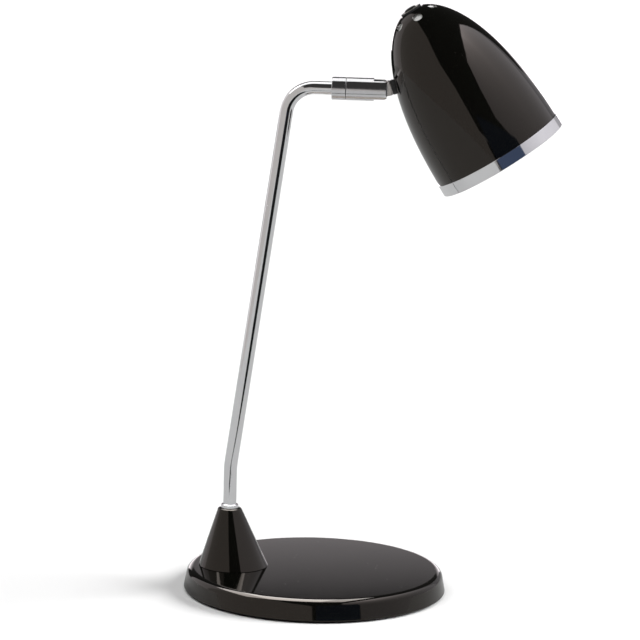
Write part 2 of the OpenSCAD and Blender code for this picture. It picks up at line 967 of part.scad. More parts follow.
// A white dish behind the vent holes hides the bulb; warm air leaves round its edge
module light_baffle() {
    hole_r = nose_r + tube_gap;
    color("white")
        at_shade()
            difference() {
                union() {
                    intersection() {
                        shade_solid(baffle_depth, shade_end);
                        translate([0, 0, -baffle_end_s])
                            cylinder(r = shade_r, h = baffle_end_s);
                    }
                    translate([0, 0, -cap_s])
                        cylinder(r = baffle_hub_r, h = cap_s - shade_wall);
                }
                shade_solid(cap_s, shade_l);
                translate([0, 0, -shade_l])
                    cylinder(r = hole_r, h = 2 * shade_l);
            }
}

module holder_cap() {
    color("ivory")
        at_shade()
            difference() {
                turned_down([
                    [nose_bore_r, -ring_nut_h],
                    [nose_r, -ring_nut_h],
                    [nose_r, cap_s],
                    [holder_r - cap_slope, cap_s],
                    [holder_r, cap_s + cap_slope],
                    [holder_r, cap_end_s],
                    [holder_bore_r, cap_end_s],
                    [holder_bore_r, cap_s + cap_slope],
                    [holder_bore_r - cap_slope + cap_top_t, cap_s + cap_top_t],
                    [nose_bore_r, cap_s + cap_top_t]
                ]);
                translate([-holder_d, 0, -lead_s])
                    rotate([0, 90, 0])
                        cylinder(d = lead_bore_d, h = holder_d, $fn = fine_fn);
            }
}

// The nut that clamps the lamp holder to the top of the shade; its edge is ribbed
module ring_nut() {
    rib_count = 20;
    rib_d = 0.7;
    color("black")
        at_shade()
            difference() {
                turned([
                    [nose_r, 0],
                    [ring_nut_d / 2, 0],
                    [ring_nut_d / 2, ring_nut_h - edge],
                    [ring_nut_d / 2 - edge, ring_nut_h],
                    [nose_r, ring_nut_h]
                ]);
                ring_of(rib_count, ring_nut_d / 2 + rib_d / 4)
                    translate([0, 0, -1])
                        cylinder(d = rib_d, h = ring_nut_h + 2, $fn = 16);
            }
}

module push_button() {
    crown_r = button_d / 2;
    top_z = ring_nut_h + button_proud;
    dome_h = 0.8;
    dome_steps = 6;
    color("black")
        at_shade()
            turned(concat(
                [[0, -flange_s - flange_h - 1.5], [1.5, -flange_s - flange_h - 1.5],
                 [1.5, -flange_s - flange_h], [flange_r, -flange_s - flange_h],
                 [flange_r, -flange_s], [crown_r, -flange_s]],
                [for (i = [0:dome_steps])
                    let (a = 90 * i / dome_steps)
                    [crown_r * cos(a), top_z - dome_h + dome_h * sin(a)]]));
}

module button_spring() {
    color("silver")
        at_shade()
            translate([0, 0, -insert_s])
                pipe(flange_r - 0.6, flange_r - 1.8, insert_s - flange_s - flange_h - 0.1);
}

module holder_insert() {
    color("white")
        at_shade()
            translate([0, 0, -insert_end_s])
                pipe(holder_bore_r - 0.1, 1, insert_h);
}

module holder_skirt() {
    color("ivory")
        at_shade()
            turned_down([
                [holder_bore_r, cap_end_s],
                [holder_r, cap_end_s],
                [holder_r, skirt_end_s - 1],
                [holder_r - 1, skirt_end_s],
                [neck_r + 0.6, skirt_end_s],
                [neck_r + 0.6, skirt_end_s - 2],
                [holder_bore_r, skirt_end_s - 2]
            ]);
}

module threaded_shell() {
    color("gold")
        at_shade()
            translate([0, 0, -skirt_end_s + 2])
                pipe(shell_bore_d / 2 + shell_t, shell_bore_d / 2, skirt_end_s - 2 - insert_end_s);
}

module centre_contact() {
    color("gold")
        at_shade()
            translate([0, 0, -insert_end_s - contact_h])
                cylinder(r = 2, h = contact_h, $fn = fine_fn);
}

module bulb_contact() {
    color("black")
        at_shade()
            turned_down([
                [0, bulb_s],
                [2.4, bulb_s],
                [bulb_cap_r - 2, bulb_cap_s],
                [0, bulb_cap_s]
            ]);
}

module bulb_cap() {
    thread_pitch = 2.8;
    turns = floor((bulb_cap_l - 3) / thread_pitch);
    color("silver")
        at_shade()
            turned_down(concat(
                [[0, bulb_cap_s], [bulb_cap_r - 1.2, bulb_cap_s]],
                [for (i = [0:2 * turns])
                    [bulb_cap_r - (i % 2 == 0 ? 0.6 : 0), bulb_cap_s + 1.2 + i * thread_pitch / 2]],
                [[bulb_cap_r, bulb_neck_s - 1.2], [bulb_cap_r, bulb_neck_s], [0, bulb_neck_s]]));
}

module bulb_globe() {
    globe_steps = 18;
    start_a = 130;
    color("white")
        at_shade()
            turned_down(concat(
                [[0, bulb_neck_s], [neck_r - 0.4, bulb_neck_s], [neck_r, bulb_neck_s + 0.6],
                 [neck_r, skirt_end_s + 1.5]],
                [for (i = [0:globe_steps])
                    let (a = start_a * (1 - i / globe_steps))
                    [globe_r * sin(a), globe_s + globe_r * cos(a)]]));
}

// A swept round lead in the plane of the arm: points are x and z in the shade's axes
module flat_route(points, d) {
    sides = 10;
    last = len(points) - 1;
    function heading(i) =
        let (p = points[min(last, i + 1)] - points[max(0, i - 1)])
        p / norm(p);
    rings = [
        for (i = [0:last], k = [0:sides - 1])
            let (h = heading(i), a = 360 * k / sides)
            [points[i][0] - h[1] * cos(a) * d / 2, sin(a) * d / 2, points[i][1] + h[0] * cos(a) * d / 2]
    ];
    walls = [
        for (i = [0:last - 1], k = [0:sides - 1])
            let (a = i * sides + k, b = i * sides + (k + 1) % sides)
            each [[a, b, a + sides], [b, b + sides, a + sides]]
    ];
    ends = [
        [for (k = [0:sides - 1]) sides - 1 - k],
        [for (k = [0:sides - 1]) last * sides + k]
    ];
    polyhedron(rings, concat(ends, walls));
}

// The leads leave the hollow stud and curve up into the side of the lamp holder
module head_lead() {
    aim = [cos(stud_lean), -sin(stud_lean)];
    pivot = [pivot_local[0], pivot_local[2]];
    start = pivot - (tongue_r - 0.35) * aim;
    leave = pivot + (stud_l + 0.5) * aim;
    enter = [-holder_r - 0.5, -lead_s];
    inside = [-holder_bore_r + 2.5, -lead_s];
    pull = 0.6 * norm(enter - leave);
    tuck = 0.35 * norm(enter - leave);
    bend_steps = 12;
    bend = [
        for (i = [0:bend_steps])
            let (t = i / bend_steps, u = 1 - t)
            u * u * u * leave + 3 * u * u * t * (leave + pull * aim)
                + 3 * u * t * t * (enter - [tuck, 0]) + t * t * t * enter
    ];
    color("dimgray")
        at_shade()
            flat_route(concat([start], bend, [inside]), lead_bore_d - 0.8);
}

felt_pad();
bottom_plate();
plate_screws();
base_weight();
base_cover();
cone_cover();
collar_ring();
mast();
mast_washer();
mast_nut();
cord_gland();
gland_nut();
cord_clamp();
clamp_screws();
terminal_block();
terminal_inserts();
terminal_screws();
mast_lead();
joint_collar();
swivel_nipple();
swivel_washer();
swivel_stop_pin();
joint_body();
grub_screw();
pivot_pins();
tongue();
lock_washer();
shade_seat();
inner_washer();
stud_nut();
shade();
trim_ring();
light_baffle();
holder_cap();
ring_nut();
push_button();
button_spring();
holder_insert();
holder_skirt();
threaded_shell();
centre_contact();
bulb_contact();
bulb_cap();
bulb_globe();
head_lead();
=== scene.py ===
"""Desk lamp with a bullet shade: smooth shells, finishes, floor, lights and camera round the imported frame."""
import json
import math

import bmesh
import bpy
from mathutils import Matrix, Vector

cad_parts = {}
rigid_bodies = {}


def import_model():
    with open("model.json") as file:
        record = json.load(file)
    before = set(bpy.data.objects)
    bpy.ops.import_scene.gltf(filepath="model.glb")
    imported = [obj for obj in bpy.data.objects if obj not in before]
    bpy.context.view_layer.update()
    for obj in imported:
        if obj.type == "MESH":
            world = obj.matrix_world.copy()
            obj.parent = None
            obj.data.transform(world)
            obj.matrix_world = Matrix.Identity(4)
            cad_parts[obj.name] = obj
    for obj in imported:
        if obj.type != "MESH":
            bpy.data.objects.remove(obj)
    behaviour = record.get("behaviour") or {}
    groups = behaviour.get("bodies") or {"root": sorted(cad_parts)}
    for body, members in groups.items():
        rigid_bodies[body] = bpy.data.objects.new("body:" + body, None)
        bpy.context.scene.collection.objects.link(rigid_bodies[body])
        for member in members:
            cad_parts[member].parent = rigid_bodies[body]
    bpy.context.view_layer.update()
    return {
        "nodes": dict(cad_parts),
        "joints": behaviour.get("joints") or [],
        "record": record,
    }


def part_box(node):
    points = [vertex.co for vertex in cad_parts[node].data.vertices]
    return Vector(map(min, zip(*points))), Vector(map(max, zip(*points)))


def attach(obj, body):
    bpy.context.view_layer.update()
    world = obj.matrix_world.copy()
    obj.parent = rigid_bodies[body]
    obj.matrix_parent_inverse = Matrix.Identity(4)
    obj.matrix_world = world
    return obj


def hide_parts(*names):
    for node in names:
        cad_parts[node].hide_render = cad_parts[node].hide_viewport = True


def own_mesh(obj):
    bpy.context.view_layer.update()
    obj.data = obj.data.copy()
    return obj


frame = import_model()

MM = 0.001

# Driving sizes in millimetres and degrees, as on the real lamp
RIM_R = 4.5
RIM_DRAFT = 11.0
FOOT_R = 0.8
COVER_WALL = 1.2
CONE_TOP_D = 13.6
CONE_WALL = 1.0
TUBE_GAP = 0.3
MAST_LEAN = 7.6
LEAN_Z = 76.0
LOW_BEND_R = 60.0
BEND_R = 17.0
SLEEVE_END_R = 0.35
SEAM_R = 0.15
CHEEK_H = 11.2
CHEEK_GAP = 0.25
SLOT_W = 7.0
SLOT_L = 7.8
PIN_D = 3.0
TONGUE_H = 8.7
WASHER_T = 0.4
SEAT_T = 2.0
STAND_OFF = 8.4
STUD_D = 5.4
STUD_PAST_SHADE = 5.2
SHADE_L = 105.0
SHADE_FLAT_D = 16.0
SHADE_POWER = 2.4
SHADE_WALL = 0.8
SHADE_TILT = 33.2
STUD_S = 33.6
TRIM_H = 7.4
TRIM_T = 0.5
LIP_H = 0.6
VENT_COUNT = 6
VENT_D = 6.0
VENT_S = 3.4
VENT_AZIMUTH = -79.0
BAFFLE_GAP = 1.0
BAFFLE_END_S = 9.0
BAFFLE_T = 0.6
HOLDER_D = 27.0
HOLDER_WALL = 1.7
HOLDER_CAP_L = 14.6
HOLDER_SKIRT_L = 22.0
CAP_SLOPE = 6.8
CAP_TOP_T = 2.0
NOSE_R = 5.0
RING_NUT_D = 13.2
RING_NUT_H = 1.3
BUTTON_D = 7.4
BUTTON_PROUD = 1.3
BUTTON_GAP = 0.2
GLOBE_D = 45.0
BULB_L = 73.0
BULB_CAP_R = 6.9
BULB_CAP_L = 14.0
BULB_TIP_H = 1.5

# Sizes that follow from them. Heights in the shade are measured down from its flat top
tongue_reach = STAND_OFF - WASHER_T - SEAT_T
stud_r = STUD_D / 2
nose_bore_r = BUTTON_D / 2 + BUTTON_GAP
holder_r = HOLDER_D / 2
holder_bore_r = holder_r - HOLDER_WALL
cap_s = SHADE_WALL + BAFFLE_GAP + BAFFLE_T
cap_end_s = cap_s + HOLDER_CAP_L
skirt_end_s = cap_end_s + HOLDER_SKIRT_L


# Places taken from the frame, in millimetres

def node_low(node):
    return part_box(node)[0] / MM


def node_high(node):
    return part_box(node)[1] / MM


cover_low, cover_high = node_low("base_cover"), node_high("base_cover")
base_r = (cover_high.x - cover_low.x) / 2
base_h = cover_high.z
pad_h = cover_low.z
cone_low, cone_high = node_low("cone_cover"), node_high("cone_cover")
mast_x = (node_low("collar_ring").x + node_high("collar_ring").x) / 2
tube_r = (node_high("mast").y - node_low("mast").y) / 2
arm_z = (node_low("joint_collar").z + node_high("joint_collar").z) / 2
sleeve_r = (node_high("joint_collar").z - node_low("joint_collar").z) / 2
sleeve_x, seam_x = node_low("joint_collar").x, node_high("joint_collar").x
body_x, body_end_x = node_low("joint_body").x, node_high("joint_body").x
tongue_t = node_high("tongue").y - node_low("tongue").y
joint_places = {j["name"]: Vector(j["pos_m"]) / MM for j in frame["joints"] if j.get("pos_m")}
pivot = joint_places["head_tilt"]


# The line of the shade, from the flat top down to the opening

shade_r = (node_high("shade").y - node_low("shade").y) / 2
curve_l = SHADE_L / (1 - (SHADE_FLAT_D / 2 / shade_r) ** 2) ** (1 / SHADE_POWER)


def outline_r(s):
    return shade_r * math.sqrt(1 - ((SHADE_L - s) / curve_l) ** SHADE_POWER)


def outline_lean(s):
    """Angle in radians between the surface and the axis, s below the flat top."""
    share = (SHADE_L - s) / curve_l
    fall = shade_r * SHADE_POWER * share ** (SHADE_POWER - 1)
    return math.atan(fall / (2 * curve_l * math.sqrt(1 - share ** SHADE_POWER)))


def shade_line(depth, start_s, end_s, count):
    """Points of the shade's line, depth inside its outer face, as distance from the axis and height."""
    points = []
    for i in range(count + 1):
        s = start_s + (end_s - start_s) * (1 - math.cos(math.pi / 2 * i / count))
        lean = outline_lean(s)
        points.append((outline_r(s) - depth * math.cos(lean), -s - depth * math.sin(lean)))
    return points


# Axes of the pieces that aren't upright

stud_lean = outline_lean(STUD_S)
pivot_in_shade = Vector((
    -outline_r(STUD_S) - STAND_OFF * math.cos(stud_lean),
    0,
    -STUD_S + STAND_OFF * math.sin(stud_lean),
))
shade_axes = (
    Matrix.Translation(pivot * MM)
    @ Matrix.Rotation(-math.radians(SHADE_TILT), 4, "Y")
    @ Matrix.Translation(-pivot_in_shade * MM)
)
knuckle_bend = math.radians(SHADE_TILT) - stud_lean
tongue_axes = Matrix.Translation(pivot * MM) @ Matrix.Rotation(-knuckle_bend, 4, "Y")
along_x = Matrix.Rotation(math.pi / 2, 4, "Y")


def arm_axes(x):
    """Axes at x on the level arm, with +Z along it."""
    return Matrix.Translation(Vector((x, 0, arm_z)) * MM) @ along_x


def upright(x, z):
    return Matrix.Translation(Vector((x, 0, z)) * MM)


# Making meshes

def smooth_piece(name, bm, axes, crease=32):
    """Turns a bmesh in millimetres into a smooth object."""
    bmesh.ops.remove_doubles(bm, verts=bm.verts, dist=1e-5)
    bmesh.ops.recalc_face_normals(bm, faces=bm.faces)
    mesh = bpy.data.meshes.new(name)
    bm.to_mesh(mesh)
    bm.free()
    mesh.transform(axes @ Matrix.Scale(MM, 4))
    piece = bpy.data.objects.new(name, mesh)
    bpy.context.collection.objects.link(piece)
    mesh.shade_smooth()
    mesh.set_sharp_from_angle(angle=math.radians(crease))
    return piece


def add_piece(name, bm, axes, finish, body, stands_for=None, crease=32):
    """A piece of the lamp that rides on a body, in the given finish, and hides the frame's node that it stands
    for, if any.
    """
    piece = smooth_piece(name, bm, axes, crease)
    piece.data.materials.append(finishes[finish])
    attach(piece, body)
    if stands_for:
        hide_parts(stands_for)
    return piece


def arc(centre_r, centre_z, radius, start, end, count):
    """Points of an arc, with angles in degrees from the direction away from the axis."""
    points = []
    for i in range(count + 1):
        a = math.radians(start + (end - start) * i / count)
        points.append((centre_r + radius * math.cos(a), centre_z + radius * math.sin(a)))
    return points


def turned(points, steps, ribs=None):
    """A turned solid from points of distance from the axis and height.

    ribs is (count, depth, least radius). An outline that ends off the axis is closed into a ring.
    """
    bm = bmesh.new()
    rings = []
    for r, z in points:
        if r < 1e-6:
            rings.append([bm.verts.new((0, 0, z))])
            continue
        ring = []
        for k in range(steps):
            a = 2 * math.pi * k / steps
            reach = r
            if ribs and r > ribs[2]:
                reach -= ribs[1] * abs(math.sin(a * ribs[0] / 2)) ** 3
            ring.append(bm.verts.new((reach * math.cos(a), reach * math.sin(a), z)))
        rings.append(ring)
    pairs = list(zip(rings, rings[1:]))
    if len(rings[0]) > 1 and len(rings[-1]) > 1:
        pairs.append((rings[-1], rings[0]))
    for low, high in pairs:
        for k in range(steps):
            n = (k + 1) % steps
            corners = [low[k % len(low)], low[n % len(low)], high[n % len(high)], high[k % len(high)]]
            corners = list(dict.fromkeys(corners))
            if len(corners) > 2:
                bm.faces.new(corners)
    return bm


def swept(path, radius, sides=48):
    """A round rod along a path in the plane of the arm, given as (x, z) points."""
    bm = bmesh.new()
    rings = []
    for i, (x, z) in enumerate(path):
        ahead = path[min(i + 1, len(path) - 1)]
        behind = path[max(i - 1, 0)]
        way = Vector((ahead[0] - behind[0], 0, ahead[1] - behind[1])).normalized()
        across = Vector((way.z, 0, -way.x))
        ring = []
        for k in range(sides):
            a = 2 * math.pi * k / sides
            away = math.cos(a) * across + math.sin(a) * Vector((0, 1, 0))
            ring.append(bm.verts.new(Vector((x, 0, z)) + radius * away))
        rings.append(ring)
    skin(bm, rings)
    return bm


def coiled(middle_r, wire_r, low, high, turns, steps=36, sides=12):
    """A wire coil between two heights, wound closed over its first and its last turn."""
    bm = bmesh.new()
    rings = []
    closed_rise = 2.1 * wire_r
    open_rise = (high - low - 2 * wire_r - 2 * closed_rise) / (turns - 2)
    z = low + wire_r
    for i in range(turns * steps + 1):
        a = 2 * math.pi * i / steps
        away = Vector((math.cos(a), math.sin(a), 0))
        ring = []
        for k in range(sides):
            b = 2 * math.pi * k / sides
            height = Vector((0, 0, z + wire_r * math.sin(b)))
            ring.append(bm.verts.new((middle_r + wire_r * math.cos(b)) * away + height))
        rings.append(ring)
        z += (open_rise if steps <= i < (turns - 1) * steps else closed_rise) / steps
    skin(bm, rings)
    return bm


def skin(bm, rings):
    """Joins rings of equally many corners into one closed skin."""
    for low, high in zip(rings, rings[1:]):
        for k in range(len(low)):
            n = (k + 1) % len(low)
            bm.faces.new((low[k], low[n], high[n], high[k]))
    bm.faces.new(rings[0])
    bm.faces.new(rings[-1])


def plate(outline, thickness):
    """A flat piece with its outline in the X-Z plane and its thickness along Y."""
    bm = bmesh.new()
    sides = [[bm.verts.new((x, y, z)) for x, z in outline] for y in (-thickness / 2, thickness / 2)]
    bm.faces.new(sides[0])
    bm.faces.new(sides[1])
    for k in range(len(outline)):
        n = (k + 1) % len(outline)
        bm.faces.new((sides[0][k], sides[0][n], sides[1][n], sides[1][k]))
    return bm


def block(low, high):
    """A cutting block between two corners."""
    bm = bmesh.new()
    bmesh.ops.create_cube(bm, size=1)
    size = Vector(high) - Vector(low)
    middle = (Vector(high) + Vector(low)) / 2
    placed = Matrix.Translation(middle) @ Matrix.Diagonal(size).to_4x4()
    bmesh.ops.transform(bm, matrix=placed, verts=bm.verts)
    return bm


def rod(radius, low, high, steps=64):
    return turned([(0, low), (radius, low), (radius, high), (0, high)], steps)


def cut(piece, cutters):
    """Cuts bmesh tools, each with its axes, out of a piece."""
    for tool, axes in cutters:
        cutter = smooth_piece(piece.name + "_cutter", tool, axes)
        modifier = piece.modifiers.new("cut", "BOOLEAN")
        modifier.operation = "DIFFERENCE"
        modifier.solver = "EXACT"
        modifier.object = cutter
        bpy.context.view_layer.update()
        evaluated = piece.evaluated_get(bpy.context.evaluated_depsgraph_get())
        shaped = bpy.data.meshes.new_from_object(evaluated)
        piece.modifiers.clear()
        old = piece.data
        piece.data = shaped
        bpy.data.meshes.remove(old)
        bpy.data.objects.remove(cutter)


def soften(piece, width, crease=32):
    """Rounds the crisp edges of a piece by width, in millimetres."""
    bevel = piece.modifiers.new("soft edges", "BEVEL")
    bevel.width = width * MM
    bevel.segments = 3
    bevel.limit_method = "ANGLE"
    bevel.angle_limit = math.radians(crease)
    bevel.harden_normals = True


# Finishes

class Value:
    """A socket in a finish's nodes, with arithmetic."""

    def __init__(self, finish, socket):
        self.finish = finish
        self.socket = socket

    def math(self, operation, *others):
        inputs = {0: self}
        inputs.update({i + 1: other for i, other in enumerate(others)})
        return self.finish.node("ShaderNodeMath", {"operation": operation}, inputs)

    def __add__(self, other):
        return self.math("ADD", other)

    def __radd__(self, other):
        return self.math("ADD", other)

    def __sub__(self, other):
        return self.math("SUBTRACT", other)

    def __rsub__(self, other):
        return self.math("MULTIPLY", -1.0).math("ADD", other)

    def __mul__(self, other):
        return self.math("MULTIPLY", other)

    def __rmul__(self, other):
        return self.math("MULTIPLY", other)

    def __pow__(self, other):
        return self.math("POWER", other)

    def above(self, limit):
        return self.math("GREATER_THAN", limit)

    def clamped(self):
        return self.math("MAXIMUM", 0.0).math("MINIMUM", 1.0)


class Finish:
    """A material with one main shader; values that never vary are set on its sockets."""

    def __init__(self, name, colour, roughness, metallic=0.0, coat=0.0):
        self.material = bpy.data.materials.new(name)
        self.material.use_nodes = True
        self.tree = self.material.node_tree
        self.shader = self.tree.nodes["Principled BSDF"]
        self.material.diffuse_color = (*colour, 1)
        self.fix("Base Color", (*colour, 1))
        self.fix("Roughness", roughness)
        self.fix("Metallic", metallic)
        self.fix("Coat Weight", coat)
        self.fix("Coat Roughness", 0.03)
        self.fix("IOR", 1.5)

    def fix(self, socket, value):
        self.shader.inputs[socket].default_value = value

    def feed(self, socket, value):
        self.tree.links.new(value.socket, self.shader.inputs[socket])

    def node(self, kind, settings, inputs, output=0):
        node = self.tree.nodes.new(kind)
        for key, setting in settings.items():
            setattr(node, key, setting)
        for key, value in inputs.items():
            if isinstance(value, Value):
                self.tree.links.new(value.socket, node.inputs[key])
            else:
                node.inputs[key].default_value = value
        return Value(self, node.outputs[output])

    def place(self, stretch=(1, 1, 1)):
        """Position on the object in millimetres, stretched along its axes."""
        spot = self.node("ShaderNodeTexCoord", {}, {}, "Object")
        scale = [1 / MM * k for k in stretch]
        return self.node("ShaderNodeMapping", {}, {"Vector": spot, "Scale": scale})

    def noise(self, size, detail, stretch=(1, 1, 1)):
        """Cloudy variation from 0 to 1, with spots about size millimetres wide."""
        return self.node(
            "ShaderNodeTexNoise", {},
            {"Vector": self.place(stretch), "Scale": 1 / size, "Detail": detail, "Roughness": 0.55},
        )

    def specks(self, size, reach):
        """1 in small round specks about size millimetres apart and reach of that wide, else 0."""
        near = self.node(
            "ShaderNodeTexVoronoi", {}, {"Vector": self.place(), "Scale": 1 / size}, "Distance")
        return 1 - near.above(reach)

    def tint(self, mask, dark, light):
        """Base colour that goes from dark to light with the mask."""
        mixed = self.node(
            "ShaderNodeMix", {"data_type": "RGBA"},
            {0: mask, 6: (*dark, 1), 7: (*light, 1)}, 2)
        self.feed("Base Color", mixed)

    def bump(self, height, depth):
        """Relief of depth millimetres."""
        relief = self.node("ShaderNodeBump", {}, {"Height": height, "Distance": depth * MM, "Strength": 1.0})
        self.feed("Normal", relief)


def black_lacquer():
    f = Finish("black_lacquer", (0.002, 0.002, 0.0015), 0.05)
    f.fix("Specular Tint", (1.12, 1.0, 0.9, 1))
    haze = f.noise(22, 3)
    dust = f.specks(9, 0.035)
    f.feed("Roughness", 0.03 + haze * 0.045 + dust * 0.3)
    f.tint(dust * 0.25 + haze * 0.1, (0.0012, 0.0014, 0.001), (0.012, 0.011, 0.01))
    f.bump(f.noise(1.6, 1), 0.0012)
    return f.material


def chrome_plate():
    f = Finish("chrome_plate", (0.81, 0.81, 0.82), 0.06, metallic=1.0)
    haze = f.noise(14, 3)
    f.feed("Roughness", 0.03 + haze * 0.07)
    f.tint(haze, (0.77, 0.775, 0.79), (0.86, 0.86, 0.865))
    f.bump(f.noise(0.9, 2), 0.0006)
    return f.material


def turned_chrome():
    """Plated, with the faint turning marks of a lathe round the arm's axis."""
    f = Finish("turned_chrome", (0.72, 0.72, 0.73), 0.14, metallic=1.0)
    marks = f.noise(0.22, 2, (1, 0.02, 0.02))
    f.feed("Roughness", 0.08 + marks * 0.10)
    f.tint(marks, (0.67, 0.67, 0.68), (0.77, 0.77, 0.78))
    f.bump(marks, 0.0025)
    return f.material


def satin_nickel():
    f = Finish("satin_nickel", (0.70, 0.68, 0.65), 0.24, metallic=1.0)
    grain = f.noise(0.3, 3, (0.15, 1, 1))
    f.feed("Roughness", 0.17 + grain * 0.16)
    f.tint(grain, (0.62, 0.60, 0.57), (0.76, 0.74, 0.71))
    f.bump(grain, 0.003)
    return f.material


def zinc_steel():
    f = Finish("zinc_steel", (0.55, 0.55, 0.54), 0.35, metallic=1.0)
    flakes = f.node("ShaderNodeTexVoronoi", {}, {"Vector": f.place(), "Scale": 0.5}, "Color")
    grey = f.node("ShaderNodeSeparateColor", {}, {"Color": flakes}, "Red")
    f.feed("Roughness", 0.25 + grey * 0.22)
    f.tint(grey, (0.47, 0.47, 0.47), (0.62, 0.62, 0.60))
    return f.material


def turned_brass():
    f = Finish("turned_brass", (0.74, 0.55, 0.24), 0.25, metallic=1.0)
    tarnish = f.noise(3, 4)
    f.feed("Roughness", 0.18 + tarnish * 0.25)
    f.tint(tarnish, (0.55, 0.38, 0.15), (0.80, 0.62, 0.30))
    return f.material


def cast_iron():
    f = Finish("cast_iron", (0.05, 0.05, 0.05), 0.75)
    sand = f.noise(0.7, 5)
    f.tint(sand, (0.03, 0.03, 0.03), (0.09, 0.088, 0.085))
    f.feed("Roughness", 0.62 + sand * 0.3)
    f.bump(sand, 0.15)
    return f.material


def pressed_felt():
    f = Finish("pressed_felt", (0.03, 0.03, 0.03), 0.95)
    f.fix("Sheen Weight", 0.4)
    fibres = f.noise(0.35, 6, (1, 0.3, 1))
    clumps = f.noise(5, 3)
    f.tint((fibres * 0.7 + clumps * 0.3).clamped(), (0.012, 0.012, 0.013), (0.07, 0.07, 0.072))
    f.feed("Roughness", 0.88 + fibres * 0.1)
    f.bump(fibres, 0.2)
    return f.material


def moulded(name, dark, light, roughness, depth):
    """Moulded plastic or rubber with a fine spark-eroded grain."""
    f = Finish(name, light, roughness)
    grain = f.noise(0.25, 3)
    cloud = f.noise(8, 3)
    f.tint(cloud, dark, light)
    f.feed("Roughness", (roughness - 0.06) + grain * 0.12)
    f.bump(grain, depth)
    return f.material


def white_enamel():
    f = Finish("white_enamel", (0.82, 0.82, 0.80), 0.32)
    peel = f.noise(1.4, 2)
    cloud = f.noise(18, 3)
    f.tint(cloud, (0.78, 0.78, 0.755), (0.86, 0.86, 0.845))
    f.feed("Roughness", 0.26 + peel * 0.12)
    f.bump(peel, 0.006)
    return f.material


def opal_glass():
    f = Finish("opal_glass", (0.88, 0.88, 0.86), 0.08, coat=0.6)
    milk = f.noise(16, 2)
    f.tint(milk, (0.84, 0.84, 0.82), (0.91, 0.91, 0.895))
    f.feed("Roughness", 0.05 + milk * 0.07)
    f.fix("Subsurface Weight", 0.25)
    f.fix("Subsurface Scale", 0.004)
    return f.material


finishes = {
    "gloss_black": black_lacquer(),
    "chrome": chrome_plate(),
    "turned_chrome": turned_chrome(),
    "satin_nickel": satin_nickel(),
    "plate_steel": zinc_steel(),
    "brass": turned_brass(),
    "cast_iron": cast_iron(),
    "felt": pressed_felt(),
    "black_rubber": moulded("black_rubber", (0.012, 0.012, 0.012), (0.022, 0.022, 0.022), 0.55, 0.01),
    "black_plastic": moulded("black_plastic", (0.008, 0.008, 0.008), (0.016, 0.016, 0.016), 0.3, 0.003),
    "white_plastic": moulded("white_plastic", (0.72, 0.72, 0.70), (0.80, 0.80, 0.78), 0.4, 0.004),
    "holder_plastic": moulded("holder_plastic", (0.62, 0.58, 0.50), (0.72, 0.69, 0.62), 0.42, 0.004),
    "lead_sleeve": moulded("lead_sleeve", (0.02, 0.02, 0.02), (0.04, 0.04, 0.04), 0.5, 0.01),
    "white_paint": white_enamel(),
    "opal_glass": opal_glass(),
    "black_glass": moulded("black_glass", (0.01, 0.01, 0.011), (0.018, 0.018, 0.02), 0.12, 0.001),
}

# Every piece of the frame takes the finish of its slot
slots = {part["node"]: part["material_slot"] for part in frame["record"]["subparts"]}
for name, piece in frame["nodes"].items():
    piece.data.materials.clear()
    piece.data.materials.append(finishes[slots[name]])


# Base

def base_cover():
    draft = math.radians(RIM_DRAFT)
    foot_z = pad_h + FOOT_R
    drop = (base_h - RIM_R + RIM_R * math.sin(draft) - foot_z) / math.cos(draft)
    flat_r = base_r - RIM_R * math.cos(draft) - drop * math.sin(draft)
    inner_foot = base_r - COVER_WALL / math.cos(draft)
    points = arc(base_r - FOOT_R, foot_z, FOOT_R, -90, 0, 6)
    points += arc(flat_r, base_h - RIM_R, RIM_R, RIM_DRAFT, 90, 20)
    points += [(flat_r * k / 4, base_h) for k in (3, 2, 1, 0)] + [(0, base_h - COVER_WALL)]
    points += arc(flat_r, base_h - RIM_R, RIM_R - COVER_WALL, 90, RIM_DRAFT, 10)
    points += [(inner_foot, foot_z), (inner_foot, pad_h)]
    add_piece("base_cover_shell", turned(points, 256), upright(0, 0), "gloss_black", "stand", "base_cover")


def cone_cover():
    """The cone leans away from the arm, and its top and its foot are level."""
    height = cone_high.z - cone_low.z
    top_r = CONE_TOP_D / 2
    hole_r = tube_r + TUBE_GAP
    # Where the foot reaches in front of and behind the middle of the mast
    front, back = cone_high.x - mast_x, mast_x - cone_low.x
    foot_x, foot_r = (front - back) / 2, (front + back) / 2
    spread = (foot_r - top_r) / height
    slant = CONE_WALL / math.cos(math.atan(spread))
    # The foot has a broken edge, and the top a rounded one
    points = [(foot_r - 0.3, 0), (foot_r, 0.25), (top_r + 0.45, height - 0.7), (top_r + 0.1, height - 0.25)]
    points += [(top_r - 0.4, height), (hole_r, height), (hole_r, height - CONE_WALL)]
    points += [(top_r + CONE_WALL * spread - slant, height - CONE_WALL), (foot_r - slant, 0)]
    cone = turned(points, 192)
    for vert in cone.verts:
        vert.co.x += foot_x * (1 - vert.co.z / height)
    add_piece("cone_shell", cone, upright(mast_x, cone_low.z), "gloss_black", "stand", "cone_cover",
              crease=40)


def collar_ring():
    low, high = node_low("collar_ring"), node_high("collar_ring")
    outer_r = (high.x - low.x) / 2
    height = high.z - low.z
    foot_r, top_r = 0.2, 0.7
    points = [(tube_r, 0), (outer_r - foot_r, 0)] + arc(outer_r - foot_r, foot_r, foot_r, -90, 0, 4)
    points += arc(outer_r - top_r, height - top_r, top_r, 0, 90, 8) + [(tube_r, height)]
    add_piece("collar_bright_ring", turned(points, 96), upright(mast_x, low.z), "chrome", "stand",
              "collar_ring")


